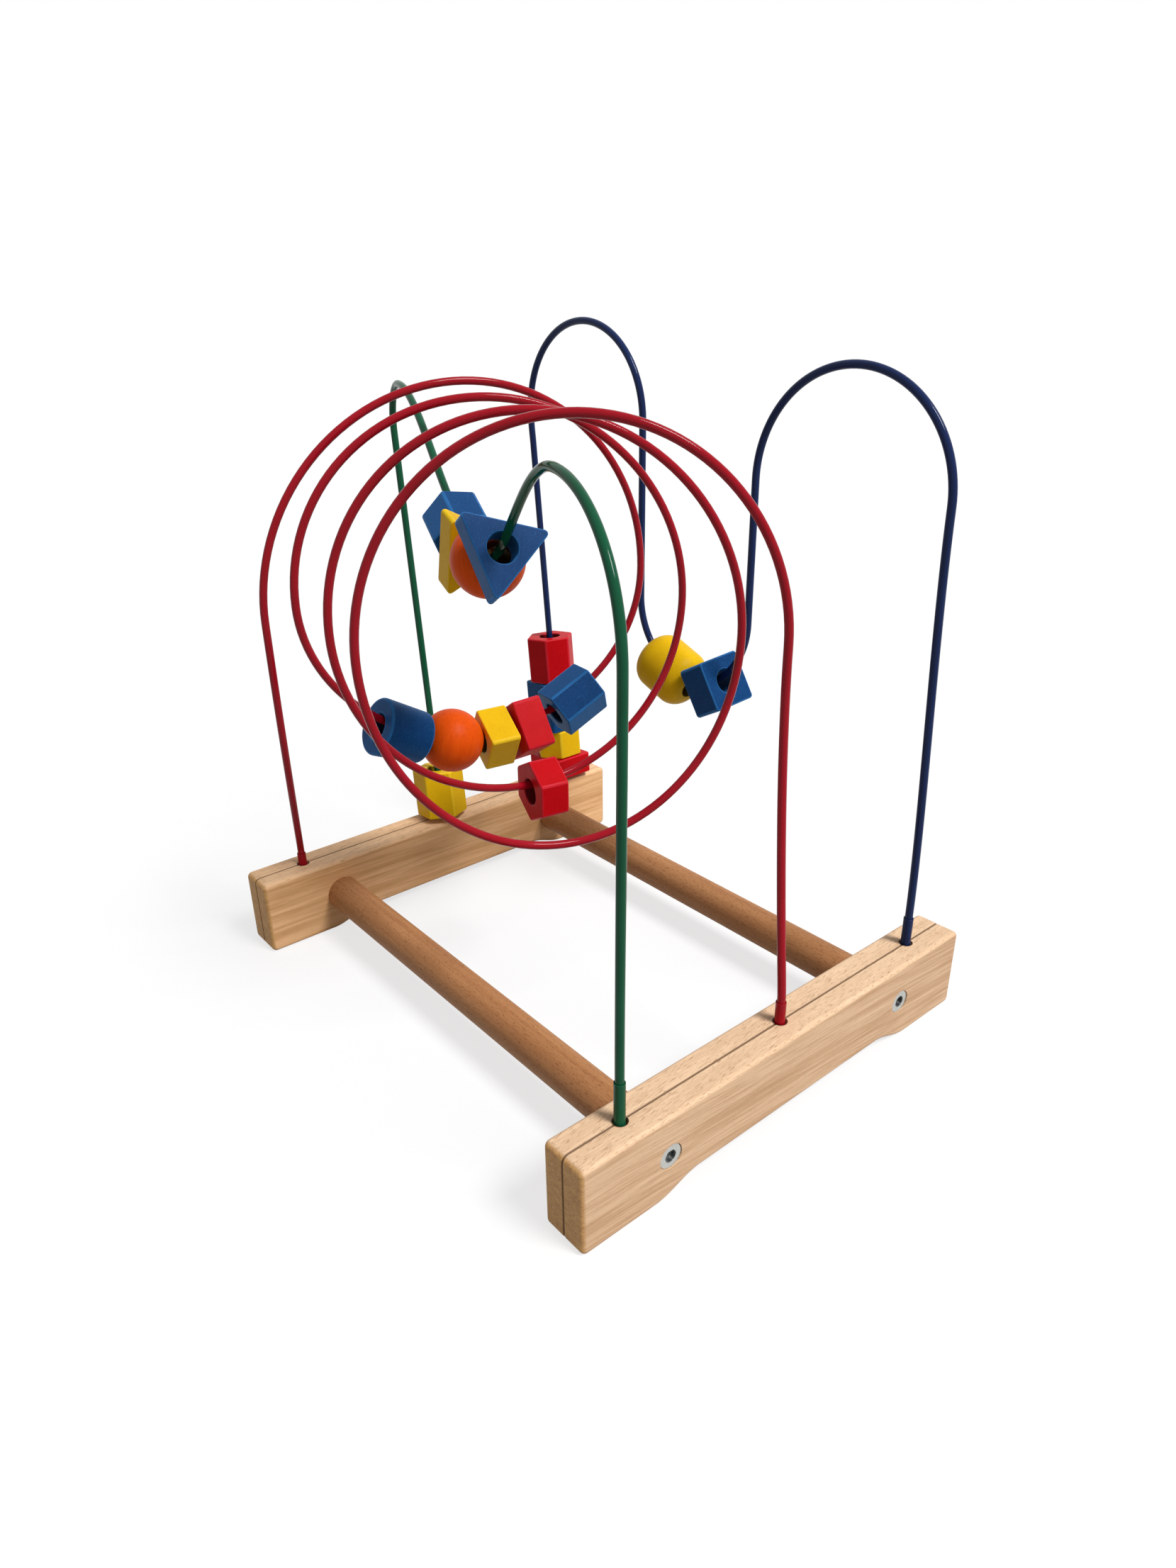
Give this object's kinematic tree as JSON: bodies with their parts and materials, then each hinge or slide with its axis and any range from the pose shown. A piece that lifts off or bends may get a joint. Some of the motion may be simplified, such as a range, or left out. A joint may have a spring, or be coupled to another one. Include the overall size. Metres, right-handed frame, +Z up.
{
  "type": "bead maze",
  "caption": "Wooden bead maze: layered rails joined by round crossbars carry bent coloured wires, and painted wooden beads slide along their spiral, humps and dips.",
  "frame": {"origin": "on the floor, under the middle of the toy's box", "axes": "+Z up from the floor; the rails run along Y and the crossbars along X; +X points to the front rail"},
  "size_m": [0.3257, 0.256, 0.337],
  "materials": {
    "beech_front": "pale beech, sanded and oiled, fine flecks",
    "beech_rear": "yellow-tan wood with straight grain",
    "dowel": "brown-orange round bar with beech flecks",
    "zinc": "bright zinc plating",
    "enamel_red": "glossy deep red enamel",
    "enamel_blue": "glossy navy enamel",
    "enamel_green": "glossy dark green enamel",
    "sleeve_red": "thin glossy red sleeve",
    "sleeve_blue": "thin glossy navy sleeve",
    "sleeve_green": "thin glossy green sleeve",
    "bead_blue": "satin blue paint over wood",
    "bead_yellow": "satin yellow paint over wood",
    "bead_red": "satin red paint over wood",
    "bead_orange": "satin orange paint over wood"
  },
  "bodies": {
    "base": {"rail_front_inner": "beech_front", "rail_front_outer": "beech_front", "rail_rear_inner": "beech_rear", "rail_rear_outer": "beech_rear", "crossbar_near": "dowel", "crossbar_far": "dowel", "screws": "zinc", "wire_red": "enamel_red", "wire_blue": "enamel_blue", "wire_green": "enamel_green", "sleeve_red_front": "sleeve_red", "sleeve_red_rear": "sleeve_red", "sleeve_blue_front": "sleeve_blue", "sleeve_blue_rear": "sleeve_blue", "sleeve_green_front": "sleeve_green", "sleeve_green_rear": "sleeve_green"},
    "red_hex_blue": {"red_hex_blue": "bead_blue"},
    "red_square_red": {"red_square_red": "bead_red"},
    "red_square_yellow": {"red_square_yellow": "bead_yellow"},
    "red_ball_orange": {"red_ball_orange": "bead_orange"},
    "red_cone_blue": {"red_cone_blue": "bead_blue"},
    "red_hex_red": {"red_hex_red": "bead_red"},
    "blue_square_blue": {"blue_square_blue": "bead_blue"},
    "blue_barrel_yellow": {"blue_barrel_yellow": "bead_yellow"},
    "blue_hex_red": {"blue_hex_red": "bead_red"},
    "blue_block_blue": {"blue_block_blue": "bead_blue"},
    "blue_slab_yellow": {"blue_slab_yellow": "bead_yellow"},
    "blue_slab_red": {"blue_slab_red": "bead_red"},
    "green_triangle_blue": {"green_triangle_blue": "bead_blue"},
    "green_ball_orange": {"green_ball_orange": "bead_orange"},
    "green_triangle_yellow": {"green_triangle_yellow": "bead_yellow"},
    "green_hex_blue": {"green_hex_blue": "bead_blue"},
    "green_hex_yellow": {"green_hex_yellow": "bead_yellow"}
  },
  "joints": [
    {"name": "red_square_yellow_ride", "type": "hinge", "parent": "base", "child": "red_square_yellow", "pos_m": [-0.04983, -0.00625, 0.24786], "axis": [0.9973, -0.0733, 0], "range_deg": [-3, 3]},
    {"name": "red_ball_orange_ride", "type": "hinge", "parent": "red_square_yellow", "child": "red_ball_orange", "pos_m": [-0.04983, -0.00625, 0.24786], "axis": [0.9973, -0.0733, 0], "range_deg": [-3, 0]},
    {"name": "red_cone_blue_ride", "type": "hinge", "parent": "red_ball_orange", "child": "red_cone_blue", "pos_m": [-0.04983, -0.00625, 0.24786], "axis": [0.9973, -0.0733, 0], "range_deg": [-6, 0]},
    {"name": "red_square_red_ride", "type": "hinge", "parent": "red_square_yellow", "child": "red_square_red", "pos_m": [-0.04983, -0.00625, 0.24786], "axis": [0.9973, -0.0733, 0], "range_deg": [0, 2.5]},
    {"name": "red_hex_blue_ride", "type": "hinge", "parent": "red_square_red", "child": "red_hex_blue", "pos_m": [-0.04983, -0.00625, 0.24786], "axis": [0.9973, -0.0733, 0], "range_deg": [-3, 4]},
    {"name": "red_hex_red_ride", "type": "hinge", "parent": "base", "child": "red_hex_red", "pos_m": [0.00222, -0.02279, 0.20422], "axis": [0.9825, -0.1861, 0], "range_deg": [-40, 20]},
    {"name": "blue_barrel_yellow_ride", "type": "hinge", "parent": "base", "child": "blue_barrel_yellow", "pos_m": [-0.00875, 0.098, 0.187], "axis": [0, -1, 0], "range_deg": [-15, 0]},
    {"name": "blue_square_blue_ride", "type": "hinge", "parent": "base", "child": "blue_square_blue", "pos_m": [-0.00875, 0.098, 0.187], "axis": [0, -1, 0], "range_deg": [0, 25]},
    {"name": "blue_slab_red_slide", "type": "slide", "parent": "base", "child": "blue_slab_red", "axis": [-0.0897, 0, 0.996], "range_m": [0, 0.02]},
    {"name": "blue_slab_yellow_slide", "type": "slide", "parent": "blue_slab_red", "child": "blue_slab_yellow", "axis": [-0.0897, 0, 0.996], "range_m": [0, 0.02]},
    {"name": "blue_block_blue_slide", "type": "slide", "parent": "blue_slab_yellow", "child": "blue_block_blue", "axis": [-0.0897, 0, 0.996], "range_m": [0, 0.02]},
    {"name": "blue_hex_red_slide", "type": "slide", "parent": "blue_block_blue", "child": "blue_hex_red", "axis": [-0.0897, 0, 0.996], "range_m": [0, 0.04]},
    {"name": "green_triangle_blue_slide", "type": "slide", "parent": "base", "child": "green_triangle_blue", "axis": [0.7275, -0.1275, 0.6741], "range_m": [0, 0.03]},
    {"name": "green_ball_orange_spin", "type": "hinge", "parent": "base", "child": "green_ball_orange", "pos_m": [0.0103, -0.05156, 0.24028], "axis": [-0.9397, 0.3107, -0.143], "continuous": true},
    {"name": "green_triangle_yellow_spin", "type": "hinge", "parent": "base", "child": "green_triangle_yellow", "pos_m": [-0.01432, -0.04573, 0.2406], "axis": [-0.9281, 0.1686, 0.332], "continuous": true},
    {"name": "green_hex_blue_slide", "type": "slide", "parent": "base", "child": "green_hex_blue", "axis": [-0.7432, 0.3187, 0.5883], "range_m": [0, 0.03]},
    {"name": "green_hex_yellow_slide", "type": "slide", "parent": "base", "child": "green_hex_yellow", "axis": [-0.1256, 0.022, 0.9918], "range_m": [0, 0.11]}
  ]
}
